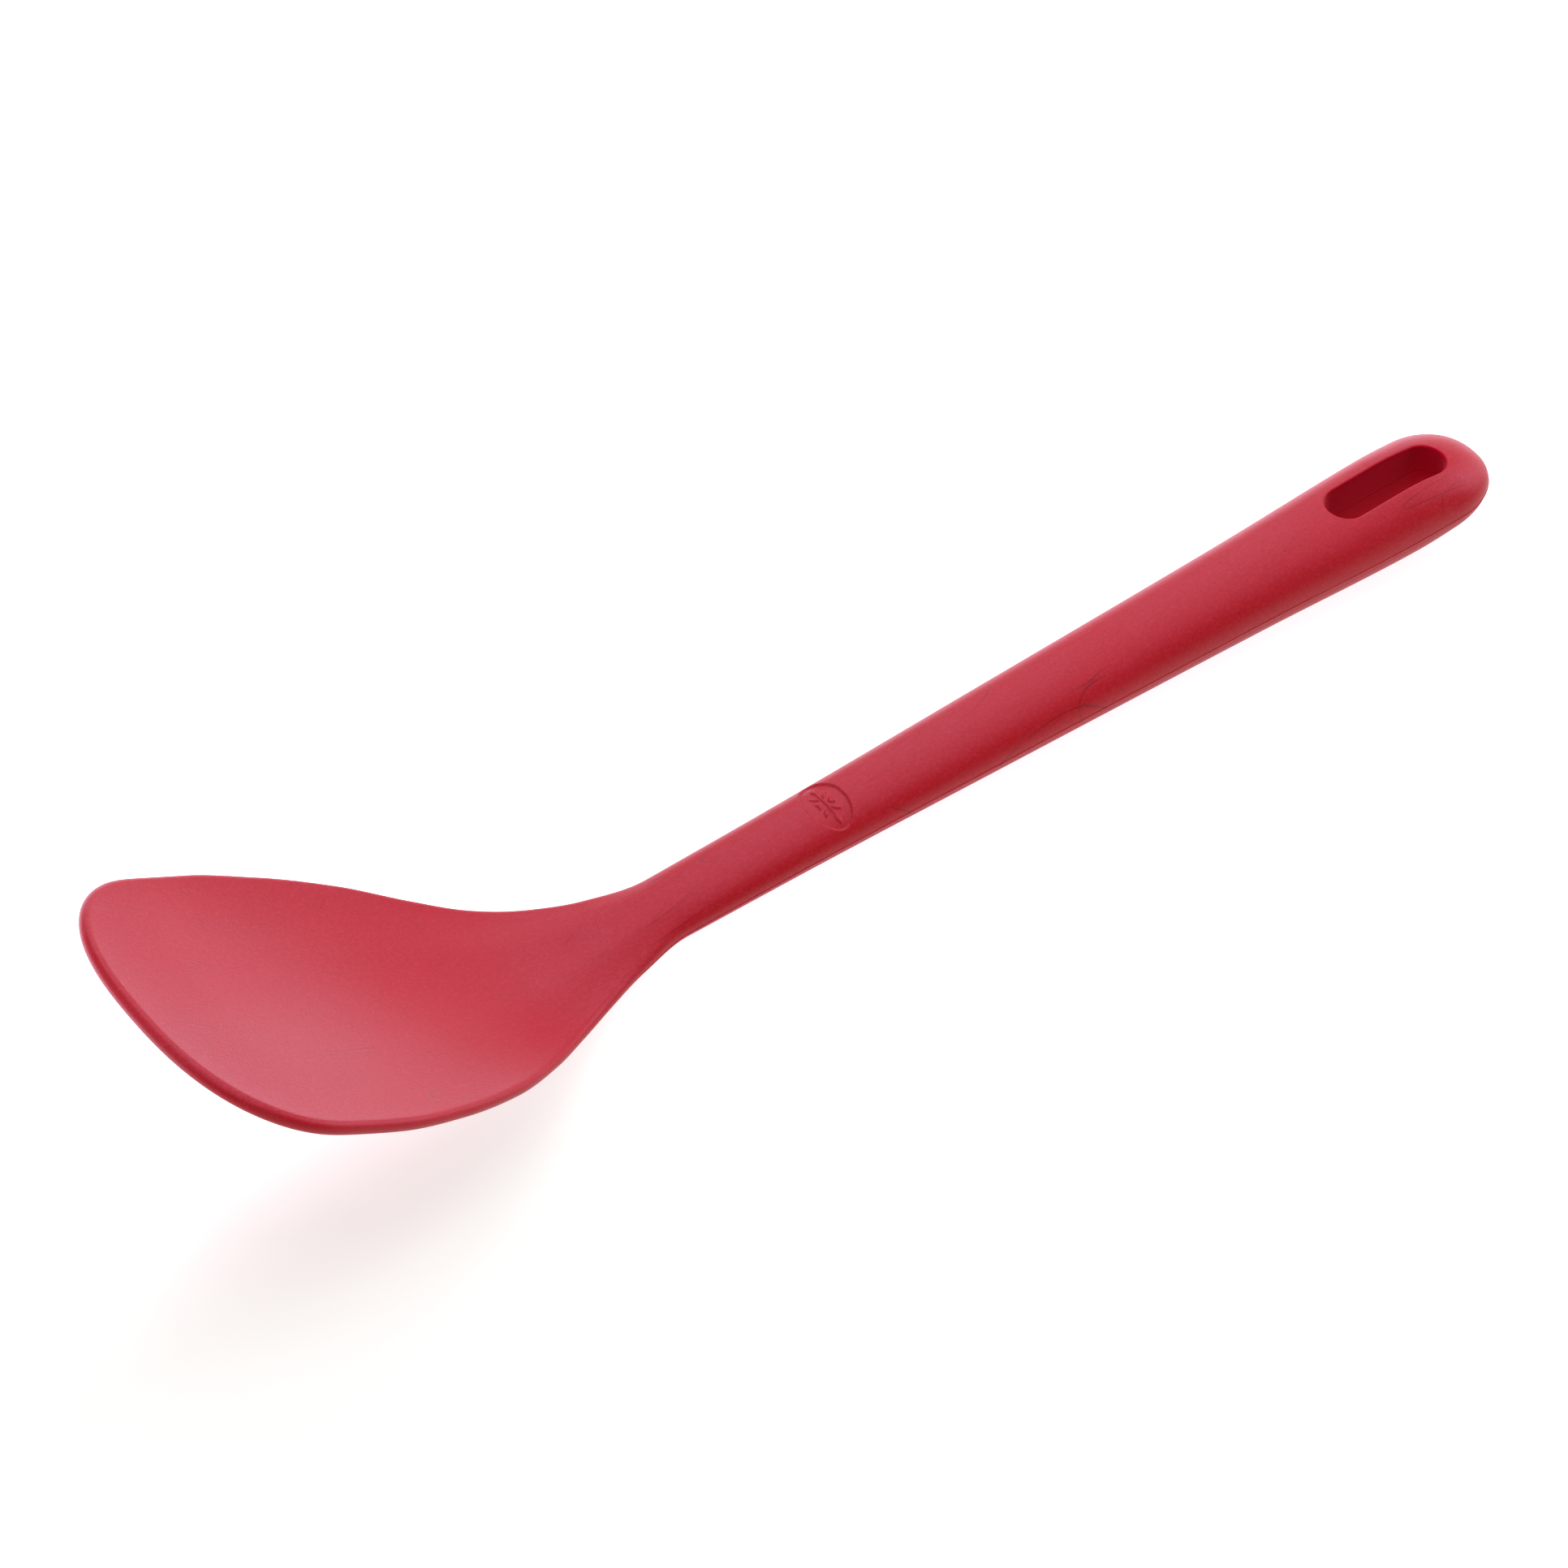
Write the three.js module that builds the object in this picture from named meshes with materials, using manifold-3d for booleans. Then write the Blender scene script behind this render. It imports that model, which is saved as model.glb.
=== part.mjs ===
// A silicone wok turner: a wide, shallow dished blade on an oval handle with a long hanging slot.
// Red silicone is moulded over a nylon handle core, whose nose grips a perforated steel leaf.
//
// Millimetres. +X runs from the blade's tip to the end of the handle, Y is across, +Z is up. The
// part lies on a table as it would be put down, with the handle's straight underside on z = 0.
//
// Every point is given as (s, y, height): s is the distance along the centre line from the tip,
// y the distance across, and height the distance off the dished middle surface of the silicone.

import * as THREE from 'three';
import { mergeVertices } from 'three/addons/utils/BufferGeometryUtils.js';
import Module from 'manifold-3d';

const wasm = await Module();
wasm.setup();

// ---- Driving dimensions ----------------------------------------------------------------------

const LENGTH = 320; // along the centre line

// Half of the width across, at distances from the tip. The ends are rounded separately.
const HALF_WIDTHS = [
  [0, 33.7], [20, 35.7], [36, 36.1], [52, 34.2], [68, 30.2], [82, 24.1], [92, 18.9],
  [102, 14.1], [112, 10.2], [124, 7.4], [145, 7.5], [200, 8.6], [260, 10], [300, 11.4],
  [LENGTH, 11.4],
];
const TIP_ROUND = { length: 24.2, exponent: 2.5 };
const END_ROUND = { length: 13.4, exponent: 2.1 };
const END_TAPER = { length: 23, exponent: 1.7 }; // of the thickness

// Half of the thickness. From the heel back, the handle thickens at an even rate.
const HEEL = 106;
const HEEL_HALF_THICKNESS = 3.4;
const HANDLE_THICKENING = 0.0254;
const BLADE_HALF_THICKNESSES = [[0, 1.75], [30, 1.75], [57, 1.9], [82, 2.5], [HEEL, HEEL_HALF_THICKNESS]];
// The blade's lip is thinner: it is rounded this far in from the outline, and thickens up to taper.
// Where the part is narrower, the taper is this share of the half width, so the neck isn't thinned.
const LIP = { halfThickness: 1.45, round: 1.6, taper: 24, taperShare: 0.65 };
const HANDLE_SECTION_EXPONENT = 2.2; // a superellipse, slightly squarer than an ellipse
const BLADE_TO_HANDLE = [75, 135]; // where the flat section turns into the oval one
const LEVEL_STRIP = 2; // half width of the level strip along the handle's underside, which it lies on

// Degrees that the centre line climbs towards the tip, measured from the handle's centre line.
const CLIMB = [[0, 36.8], [41, 34.2], [82, 21.4], [104, 3.4], [116, 0], [270, 0], [LENGTH, -2.2]];
// How far the middle surface rises at 38 mm from the centre line: the depth of the dish.
const DISH_RISE = [[0, 1.7], [31, 3.2], [77, 6.3], [103, 6.1], [129, 0], [LENGTH, 0]];
const DISH_RISE_AT = 38;

const SLOT = { centre: 296.4, length: 28.3, radius: 4.3, rimRadius: 0.6 };
const BADGE = { centre: 160.5, halfLength: 4.3, halfWidth: 6.4, depth: 0.4 };

const GAP = 0.3; // between neighbouring pieces
const CORE = { start: 104, sideCover: 2.4, faceCover: 1.5, eyeCover: 1.9 };
const RIB = { halfThickness: 0.35 }; // stands in the seam half way down the slot's wall
const LEAF = { start: 13, end: 128, roundLength: 17, halfThickness: 0.4, lipWidth: 10.4, tangHalfWidth: 3.5 };
const LEAF_HOLE_RADIUS = 3;
const LEAF_HOLES = { pitch: 16, middleStart: 30, middleCount: 4, sideStart: 38, sideCount: 2, sideY: 14 };
const TANG_POST = { s: 117, radius: 1.1 };

const TILT = -Math.atan(HANDLE_THICKENING); // puts the handle's underside level
const SLOT_HALF_STRAIGHT = SLOT.length / 2 - SLOT.radius;
const SLOT_FIRST_ARC = SLOT.centre - SLOT_HALF_STRAIGHT;
const SLOT_LAST_ARC = SLOT.centre + SLOT_HALF_STRAIGHT;

// ---- Curves ----------------------------------------------------------------------------------

// A smooth curve through the knots that never overshoots them (monotone cubic Hermite).
function throughKnots(knots) {
  const slopes = knots.slice(1).map(([x, y], i) => (y - knots[i][1]) / (x - knots[i][0]));
  const tangents = knots.map((_, i) => {
    if (i === 0) return slopes[0];
    if (i === knots.length - 1) return slopes[i - 1];
    const product = slopes[i - 1] * slopes[i];
    return product <= 0 ? 0 : (2 * product) / (slopes[i - 1] + slopes[i]);
  });
  return (x) => {
    let i = 0;
    while (i < knots.length - 2 && x > knots[i + 1][0]) i += 1;
    const step = knots[i + 1][0] - knots[i][0];
    const t = THREE.MathUtils.clamp((x - knots[i][0]) / step, 0, 1);
    const rise = knots[i + 1][1] - knots[i][1];
    const start = t * (1 - t) * (1 - t) * step * tangents[i];
    const end = t * t * (t - 1) * step * tangents[i + 1];
    return knots[i][1] + t * t * (3 - 2 * t) * rise + start + end;
  };
}

// 1 where depth is 0 or less, falling to 0 at depth 1 along a superellipse.
function roundOff(depth, exponent) {
  return (1 - THREE.MathUtils.clamp(depth, 0, 1) ** exponent) ** (1 / exponent);
}

const bareHalfWidth = throughKnots(HALF_WIDTHS);
const bladeHalfThickness = throughKnots(BLADE_HALF_THICKNESSES);
const climb = throughKnots(CLIMB);
const dishRise = throughKnots(DISH_RISE);

function endFactor(s, round, inset) {
  return roundOff((s - (LENGTH - round.length)) / (round.length - inset), round.exponent);
}

// Half of the width, drawn in by inset from the outline on the handle.
function halfWidth(s, inset = 0) {
  const tip = roundOff(1 - s / TIP_ROUND.length, TIP_ROUND.exponent);
  return (bareHalfWidth(s) - inset) * tip * endFactor(s, END_ROUND, inset);
}

function halfThickness(s, inset = 0) {
  const handle = HEEL_HALF_THICKNESS + HANDLE_THICKENING * (s - HEEL);
  const bare = s < HEEL ? bladeHalfThickness(s) : handle;
  return (bare - inset) * endFactor(s, END_TAPER, inset);
}

// The centre line's angle below +X at s, in radians.
function pitch(s) {
  return THREE.MathUtils.degToRad(climb(s)) + TILT;
}

// The centre line, added up in short steps from the handle's end.
const SPINE_STEP = 1;
const spine = (() => {
  const points = [{ x: 0, z: 0 }];
  for (let s = LENGTH - SPINE_STEP / 2; s > 0; s -= SPINE_STEP) {
    const last = points[points.length - 1];
    const angle = pitch(s);
    points.push({ x: last.x - SPINE_STEP * Math.cos(angle), z: last.z + SPINE_STEP * Math.sin(angle) });
  }
  return points.reverse();
})();

function spineAt(s) {
  const i = Math.min(Math.floor(s / SPINE_STEP), spine.length - 2);
  const t = s / SPINE_STEP - i;
  return {
    x: THREE.MathUtils.lerp(spine[i].x, spine[i + 1].x, t),
    z: THREE.MathUtils.lerp(spine[i].z, spine[i + 1].z, t),
  };
}

// The origin is under the middle of the part's length, on the table.
const LEVEL_S = 200; // any place on the straight handle
const LEVEL_HEIGHT = coverHeight(LEVEL_S, 0, halfWidth(LEVEL_S), -1);
const TABLE_Z = spineAt(LEVEL_S).z - LEVEL_HEIGHT / Math.cos(TILT);
const TIP_X = spineAt(0).x;
const MIDDLE_X = (TIP_X + spineAt(LENGTH).x) / 2;

// The point in space at (s, y, height).
function place(s, y, height) {
  const centre = spineAt(s);
  const angle = pitch(s);
  const off = height + dishRise(s) * (y / DISH_RISE_AT) ** 2;
  return new THREE.Vector3(
    centre.x - MIDDLE_X + off * Math.sin(angle),
    y,
    centre.z - TABLE_Z + off * Math.cos(angle),
  );
}

// ---- The silicone's outside ------------------------------------------------------------------

// How far (s, y) is from the slot's wall, measured outwards.
function slotDistance(s, y) {
  const along = Math.max(Math.abs(s - SLOT.centre) - SLOT_HALF_STRAIGHT, 0);
  return Math.hypot(along, y) - SLOT.radius;
}

// How far the silicone's top (side 1) or underside (side -1) is from its middle surface at (s, y),
// which is fromEdge in from the outline.
function coverHeight(s, y, fromEdge, side) {
  if (fromEdge === 0) return 0;
  const toHandle = THREE.MathUtils.smoothstep(s, ...BLADE_TO_HANDLE);
  const fullHeight = halfThickness(s);
  const taper = Math.min(LIP.taper, LIP.taperShare * bareHalfWidth(s));
  const pastLip = THREE.MathUtils.smoothstep(fromEdge, LIP.round, taper);
  const plateHeight = THREE.MathUtils.lerp(LIP.halfThickness, fullHeight, pastLip);
  const plate = plateHeight * roundOff(1 - fromEdge / LIP.round, 2);
  const sideways = Math.max(Math.abs(y), side < 0 ? LEVEL_STRIP : 0);
  const across = Math.min(sideways / Math.max(halfWidth(s), 1e-6), 1);
  const oval = fullHeight * roundOff(across, HANDLE_SECTION_EXPONENT);
  const height = THREE.MathUtils.lerp(plate, oval, toHandle);
  const inRim = THREE.MathUtils.clamp(SLOT.rimRadius - slotDistance(s, y), 0, SLOT.rimRadius);
  return height - (SLOT.rimRadius - Math.sqrt(SLOT.rimRadius ** 2 - inRim ** 2));
}

// Ribs run from the outline in to the centre line, or to the slot's wall where there is one.
const TIP_RIBS = 10;
const BLADE_STEP = 5;
const HANDLE_STEP = 13;
const ARC_RIBS = 6;
const RIM_RIBS = 3;
const RIB_POINTS = 9;
const BLADE_END = 130; // closely spaced ribs up to here
const APPROACH = 8; // the ribs start to lean this far before the slot
const RIM_RIB_SPREAD = 1; // the outer ends of the ribs that reach the slot's near rim lie this close
const FIRST_SLOT_RIB = 1.5; // where the first rib after them starts

function ribList() {
  const ribs = [];
  const add = (inner, outerS, slot) => ribs.push({ inner, outer: [outerS, halfWidth(outerS)], slot });
  const quarter = (i, count) => (Math.PI / 2) * (i / count);
  for (let i = 0; i < TIP_RIBS; i += 1) {
    add([TIP_ROUND.length, 0], TIP_ROUND.length * (1 - Math.cos(quarter(i, TIP_RIBS))), false);
  }
  for (let s = TIP_ROUND.length; s < BLADE_END; s += BLADE_STEP) add([s, 0], s, false);
  const apex = SLOT_FIRST_ARC - SLOT.radius;
  const lean = apex - APPROACH;
  const handleSteps = Math.round((lean - BLADE_END) / HANDLE_STEP);
  for (let i = 0; i <= handleSteps; i += 1) {
    const s = THREE.MathUtils.lerp(BLADE_END, lean, i / handleSteps);
    add([s, 0], s, false);
  }
  for (let i = 0; i < RIM_RIBS; i += 1) {
    const before = SLOT.rimRadius * (1 - Math.sin(quarter(i, RIM_RIBS)));
    add([apex - before, 0], lean + (RIM_RIB_SPREAD * (i + 1)) / RIM_RIBS, false);
  }
  for (let i = 0; i <= ARC_RIBS; i += 1) {
    const angle = quarter(i, ARC_RIBS);
    const inner = [SLOT_FIRST_ARC - SLOT.radius * Math.cos(angle), SLOT.radius * Math.sin(angle)];
    add(inner, THREE.MathUtils.lerp(SLOT_FIRST_ARC, lean + FIRST_SLOT_RIB, Math.cos(angle)), true);
  }
  for (let i = ARC_RIBS; i >= 0; i -= 1) {
    const angle = quarter(i, ARC_RIBS);
    const inner = [SLOT_LAST_ARC + SLOT.radius * Math.cos(angle), SLOT.radius * Math.sin(angle)];
    add(inner, THREE.MathUtils.lerp(SLOT_LAST_ARC, LENGTH, Math.cos(angle)), true);
  }
  return ribs;
}

// The share of the way in from the outline, close together at the outline, and at the slot's rim.
function inwardShare(j, slot) {
  const t = j / RIB_POINTS;
  return slot ? (1 - Math.cos(Math.PI * t)) / 2 : 1 - Math.cos((Math.PI / 2) * t);
}

// The points along one rib on the top (side 1) or the underside (side -1).
function ribPoints(rib, side, mirror) {
  const [outerS, outerY] = rib.outer;
  const [innerS, innerY] = rib.inner;
  const run = Math.hypot(innerS - outerS, innerY - outerY);
  return Array.from({ length: RIB_POINTS + 1 }, (_, j) => {
    const share = inwardShare(j, rib.slot);
    const s = THREE.MathUtils.lerp(outerS, innerS, share);
    const y = THREE.MathUtils.lerp(outerY, innerY, share);
    return place(s, mirror * y, side * coverHeight(s, y, share * run, side));
  });
}

// Adds a four-sided face; flipped turns its outward side over.
function addQuad(triangles, a, b, c, d, flipped) {
  if (flipped) triangles.push(a, c, b, a, d, c);
  else triangles.push(a, b, c, a, c, d);
}

function solidFromTriangles(triangles) {
  return toSolid(new THREE.BufferGeometry().setFromPoints(triangles));
}

function outsideSolid() {
  const ribs = ribList();
  const triangles = [];
  for (const mirror of [1, -1]) {
    for (let i = 0; i + 1 < ribs.length; i += 1) {
      for (const side of [1, -1]) {
        const near = ribPoints(ribs[i], side, mirror);
        const far = ribPoints(ribs[i + 1], side, mirror);
        for (let j = 0; j < RIB_POINTS; j += 1) {
          addQuad(triangles, near[j], far[j], far[j + 1], near[j + 1], side * mirror > 0);
        }
      }
      if (ribs[i].slot && ribs[i + 1].slot) {
        const edge = (rib, side) => ribPoints(rib, side, mirror)[RIB_POINTS];
        const [near, far] = [ribs[i], ribs[i + 1]];
        addQuad(triangles, edge(near, 1), edge(far, 1), edge(far, -1), edge(near, -1), mirror > 0);
      }
    }
  }
  return solidFromTriangles(triangles);
}

// ---- Solids ----------------------------------------------------------------------------------

function toSolid(geometry) {
  const bare = geometry.clone();
  bare.deleteAttribute('normal');
  bare.deleteAttribute('uv');
  const merged = mergeVertices(bare, 1e-5);
  const index = merged.index.array;
  const kept = [];
  for (let i = 0; i < index.length; i += 3) {
    const [a, b, c] = [index[i], index[i + 1], index[i + 2]];
    if (a !== b && b !== c && c !== a) kept.push(a, b, c);
  }
  const vertProperties = new Float32Array(merged.attributes.position.array);
  return new wasm.Manifold(new wasm.Mesh({ numProp: 3, vertProperties, triVerts: new Uint32Array(kept) }));
}

function toGeometry(solid) {
  const mesh = solid.getMesh();
  const geometry = new THREE.BufferGeometry();
  geometry.setAttribute('position', new THREE.BufferAttribute(mesh.vertProperties, 3));
  geometry.setIndex(new THREE.BufferAttribute(mesh.triVerts, 1));
  geometry.computeVertexNormals();
  return geometry;
}

// A closed bar of superellipse sections between two stations.
function barSolid(stations, halfWidthAt, halfHeightAt, sides) {
  const rings = stations.map((s) => Array.from({ length: sides }, (_, k) => {
    const angle = (2 * Math.PI * k) / sides;
    const power = 2 / HANDLE_SECTION_EXPONENT;
    const y = Math.sign(Math.cos(angle)) * Math.abs(Math.cos(angle)) ** power * halfWidthAt(s);
    const height = Math.sign(Math.sin(angle)) * Math.abs(Math.sin(angle)) ** power * halfHeightAt(s);
    return place(s, y, height);
  }));
  return solidFromRings(rings);
}

// Joins rings that all run the same way round, and closes both ends with a fan.
function solidFromRings(rings) {
  const triangles = [];
  const sides = rings[0].length;
  const centre = (ring) => ring.reduce((sum, p) => sum.add(p), new THREE.Vector3()).divideScalar(sides);
  const [first, last] = [rings[0], rings[rings.length - 1]];
  const [firstCentre, lastCentre] = [centre(first), centre(last)];
  for (let k = 0; k < sides; k += 1) {
    const next = (k + 1) % sides;
    for (let i = 0; i + 1 < rings.length; i += 1) {
      addQuad(triangles, rings[i][k], rings[i][next], rings[i + 1][next], rings[i + 1][k], false);
    }
    triangles.push(firstCentre, first[next], first[k]);
    triangles.push(lastCentre, last[k], last[next]);
  }
  return solidFromTriangles(triangles);
}

// An upright prism in the handle's own straight frame, from a shape drawn in (s, y).
function handlePrism(shape, low, high) {
  const geometry = new THREE.ExtrudeGeometry(shape, { depth: high - low, bevelEnabled: false });
  geometry.translate(-SLOT.centre, 0, low);
  geometry.rotateY(pitch(SLOT.centre));
  const centre = place(SLOT.centre, 0, 0);
  geometry.translate(centre.x, centre.y, centre.z);
  return toSolid(geometry);
}

// The slot's outline, grown outwards.
function slotShape(grown) {
  const radius = SLOT.radius + grown;
  const shape = new THREE.Shape();
  shape.absarc(SLOT_FIRST_ARC, 0, radius, Math.PI / 2, Math.PI * 1.5, false);
  shape.absarc(SLOT_LAST_ARC, 0, radius, -Math.PI / 2, Math.PI / 2, false);
  return shape;
}

const THROUGH = 12; // half height of a cutter that passes right through the handle
const MIDDLE_UP = 1; // low end of a cutter that only works on the handle's top

// A round pin through the middle surface at (s, y), square to it.
function pinSolid(s, y, radius) {
  const length = 8;
  const sides = 16;
  const small = 0.5;
  const along = place(s + small, y, 0).sub(place(s - small, y, 0));
  const across = place(s, y + small, 0).sub(place(s, y - small, 0));
  const normal = along.cross(across).normalize();
  const geometry = new THREE.CylinderGeometry(radius, radius, length, sides);
  geometry.applyQuaternion(new THREE.Quaternion().setFromUnitVectors(new THREE.Vector3(0, 1, 0), normal));
  const centre = place(s, y, 0);
  geometry.translate(centre.x, centre.y, centre.z);
  return toSolid(geometry);
}

function range(start, end, count) {
  return Array.from({ length: count + 1 }, (_, i) => THREE.MathUtils.lerp(start, end, i / count));
}

// ---- The nylon core --------------------------------------------------------------------------

// Sections are close together along the curved neck and round the end, and wide on the straight shaft.
const NECK_SECTIONS = { end: 132, count: 6 };
const SHAFT_SECTIONS = { start: 145, count: 9 };
const END_SECTIONS = { fromDegrees: 10, toDegrees: 85, count: 6 };
const CORE_SIDES = 20;

// The core's outer body, grown all round by GAP for the space that it lies in.
function coreBar(grown) {
  const [side, face] = [CORE.sideCover - grown, CORE.faceCover - grown];
  const end = LENGTH - CORE.sideCover + grown;
  const taperStart = LENGTH - END_TAPER.length;
  const neck = range(CORE.start - grown, NECK_SECTIONS.end, NECK_SECTIONS.count);
  const shaft = range(SHAFT_SECTIONS.start, taperStart, SHAFT_SECTIONS.count);
  const round = range(END_SECTIONS.fromDegrees, END_SECTIONS.toDegrees, END_SECTIONS.count).map(
    (degrees) => THREE.MathUtils.lerp(taperStart, end, Math.sin(THREE.MathUtils.degToRad(degrees))),
  );
  const stations = [...neck, ...shaft, ...round];
  return barSolid(stations, (s) => halfWidth(s, side), (s) => halfThickness(s, face), CORE_SIDES);
}

// The slit in the core's nose that takes the leaf's tang, bridged by a post through the tang.
function tangSlit() {
  const half = LEAF.tangHalfWidth + GAP;
  const height = LEAF.halfThickness + GAP;
  const slit = plateSolid(tangStations(GAP), () => half, height);
  return slit.subtract(pinSolid(TANG_POST.s, 0, TANG_POST.radius));
}

function handleCore() {
  const eye = handlePrism(slotShape(CORE.eyeCover), -THROUGH, THROUGH);
  const overlap = 0.2;
  const ribOuter = handlePrism(slotShape(CORE.eyeCover + overlap), -RIB.halfThickness, RIB.halfThickness);
  const rib = ribOuter.subtract(handlePrism(slotShape(GAP), -THROUGH, THROUGH));
  return coreBar(0).subtract(eye).subtract(tangSlit()).add(rib);
}

// ---- The steel leaf --------------------------------------------------------------------------

const LEAF_FRONT_DEPTHS = [0, 1, 3, 6, 10, 15]; // sections of its round front, from its edge
const LEAF_BLADE_SECTIONS = { start: 34, end: 100, count: 11 };
const TANG_SECTIONS = { before: 1, count: 4 }; // the first one lies just before the core's nose

// A plate that follows the dished middle surface.
function plateSolid(stations, halfWidthAt, halfHeight) {
  const strips = 8;
  const rings = stations.map((s) => {
    const across = range(-halfWidthAt(s), halfWidthAt(s), strips);
    const top = across.map((y) => place(s, y, halfHeight)).reverse();
    const under = across.map((y) => place(s, y, -halfHeight));
    return [...top, ...under];
  });
  return solidFromRings(rings);
}

function leafHalfWidth(s) {
  const front = roundOff(1 - (s - LEAF.start + 1) / LEAF.roundLength, 2);
  return Math.max((halfWidth(s) - LEAF.lipWidth) * front, LEAF.tangHalfWidth);
}

// The leaf and the slit share these stations, so that their faces run side by side.
function tangStations(grown) {
  return range(CORE.start - TANG_SECTIONS.before, LEAF.end + grown, TANG_SECTIONS.count);
}

function leafPlate(grown) {
  const front = LEAF_FRONT_DEPTHS.map((depth) => LEAF.start + depth - (depth === 0 ? grown : 0));
  const blade = range(LEAF_BLADE_SECTIONS.start, LEAF_BLADE_SECTIONS.end, LEAF_BLADE_SECTIONS.count);
  const stations = [...front, ...blade, ...tangStations(grown)];
  return plateSolid(stations, (s) => leafHalfWidth(s) + grown, LEAF.halfThickness + grown);
}

// Where the silicone passes through the leaf, as (s, y).
function leafHolePlaces() {
  const { pitch: step, middleStart, middleCount, sideStart, sideCount, sideY } = LEAF_HOLES;
  const middle = Array.from({ length: middleCount }, (_, i) => [middleStart + step * i, 0]);
  const sides = Array.from({ length: sideCount }, (_, i) => sideStart + step * i);
  return [...middle, ...sides.flatMap((s) => [[s, sideY], [s, -sideY]])];
}

function bowlInsert() {
  let leaf = leafPlate(0);
  for (const [s, y] of leafHolePlaces()) leaf = leaf.subtract(pinSolid(s, y, LEAF_HOLE_RADIUS));
  return leaf.subtract(pinSolid(TANG_POST.s, 0, TANG_POST.radius + GAP));
}

// ---- The silicone cover ----------------------------------------------------------------------

// The space for the leaf, less the silicone that fills its holes.
function leafSpace() {
  let space = leafPlate(GAP);
  for (const [s, y] of leafHolePlaces()) space = space.subtract(pinSolid(s, y, LEAF_HOLE_RADIUS - GAP));
  return space;
}

// The space for the core, with the silicone round the slot left in it.
function coreSpace() {
  return coreBar(GAP).subtract(handlePrism(slotShape(CORE.eyeCover - GAP), -THROUGH, THROUGH));
}

// The seam in the slot's wall, which the core's rib looks out of.
function slotSeam() {
  const half = RIB.halfThickness + GAP;
  const inside = 1;
  return handlePrism(slotShape(CORE.eyeCover), -half, half)
    .subtract(handlePrism(slotShape(-inside), -THROUGH, THROUGH));
}

// The shallow oval recess in the top of the handle.
function badgeRecess() {
  const oval = new THREE.Shape();
  oval.absellipse(BADGE.centre, 0, BADGE.halfLength, BADGE.halfWidth, 0, 2 * Math.PI);
  const reach = 2 * BADGE.halfLength;
  const stations = range(BADGE.centre - reach, BADGE.centre + reach, 2);
  const width = (s) => halfWidth(s) - BADGE.depth / 2;
  const sides = 40;
  const floor = barSolid(stations, width, (s) => halfThickness(s) - BADGE.depth, sides);
  return handlePrism(oval, MIDDLE_UP, THROUGH).subtract(floor);
}

function siliconeCover() {
  return outsideSolid()
    .subtract(coreSpace())
    .subtract(leafSpace())
    .subtract(slotSeam())
    .subtract(badgeRecess());
}

// ---- The assembly ----------------------------------------------------------------------------

const RED_SILICONE = new THREE.MeshStandardMaterial({ color: 0xb82236, roughness: 0.55, metalness: 0 });
const RED_NYLON = new THREE.MeshStandardMaterial({ color: 0x6b0d14, roughness: 0.6, metalness: 0 });
const SPRING_STEEL = new THREE.MeshStandardMaterial({ color: 0xb4b6b8, roughness: 0.35, metalness: 1 });

function piece(name, solid, material) {
  const mesh = new THREE.Mesh(toGeometry(solid), material);
  mesh.name = name;
  return mesh;
}

const turner = new THREE.Group();
turner.add(piece('silicone_cover', siliconeCover(), RED_SILICONE));
turner.add(piece('handle_core', handleCore(), RED_NYLON));
turner.add(piece('bowl_insert', bowlInsert(), SPRING_STEEL));

export default turner;
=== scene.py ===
"""The looks of a red silicone wok turner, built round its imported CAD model. Blender 4.5.

The silicone is made here as a fine mesh that stands for the faceted CAD node. The nylon core and
the steel leaf inside it stay as CAD nodes and get new materials. Points on the silicone are given
as (s, y, height), in millimetres: s is the distance along the centre line from the blade's tip, y
the distance across, and height the distance off the dished middle surface. Every Blender object is
in metres, in the CAD frame.
"""

import math

import bpy
import numpy as np
from mathutils import Matrix, Vector


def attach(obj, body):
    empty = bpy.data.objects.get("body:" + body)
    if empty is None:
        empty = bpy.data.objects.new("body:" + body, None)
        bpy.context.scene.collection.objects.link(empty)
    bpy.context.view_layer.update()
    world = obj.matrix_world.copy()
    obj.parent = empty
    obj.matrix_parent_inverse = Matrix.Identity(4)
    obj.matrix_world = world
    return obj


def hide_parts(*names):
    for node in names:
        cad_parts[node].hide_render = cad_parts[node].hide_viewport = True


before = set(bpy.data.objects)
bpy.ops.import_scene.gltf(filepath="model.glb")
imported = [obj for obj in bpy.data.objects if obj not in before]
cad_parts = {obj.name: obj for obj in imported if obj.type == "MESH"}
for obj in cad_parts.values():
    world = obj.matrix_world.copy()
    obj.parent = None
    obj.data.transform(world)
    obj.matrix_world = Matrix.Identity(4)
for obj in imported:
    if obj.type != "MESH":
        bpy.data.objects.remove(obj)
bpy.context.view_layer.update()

MM = 0.001

# ---- Driving dimensions, as in the CAD source --------------------------------------------------

LENGTH = 320.0
HALF_WIDTHS = [
    (0, 33.7), (20, 35.7), (36, 36.1), (52, 34.2), (68, 30.2), (82, 24.1), (92, 18.9),
    (102, 14.1), (112, 10.2), (124, 7.4), (145, 7.5), (200, 8.6), (260, 10), (300, 11.4),
    (LENGTH, 11.4),
]
TIP_ROUND = (24.2, 2.5)  # length and exponent
END_ROUND = (13.4, 2.1)
END_TAPER = (23.0, 1.7)
HEEL = 106.0
HEEL_HALF_THICKNESS = 3.4
HANDLE_THICKENING = 0.0254
BLADE_HALF_THICKNESSES = [(0, 1.75), (30, 1.75), (57, 1.9), (82, 2.5), (HEEL, HEEL_HALF_THICKNESS)]
LIP_HALF_THICKNESS = 1.45
LIP_ROUND = 1.6
LIP_TAPER = 24.0
LIP_TAPER_SHARE = 0.65  # of the half width, where that is less: the neck isn't thinned
SECTION_EXPONENT = 2.2
BLADE_TO_HANDLE = (75.0, 135.0)
LEVEL_STRIP = 2.0  # half width of the level strip along the handle's underside
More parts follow.
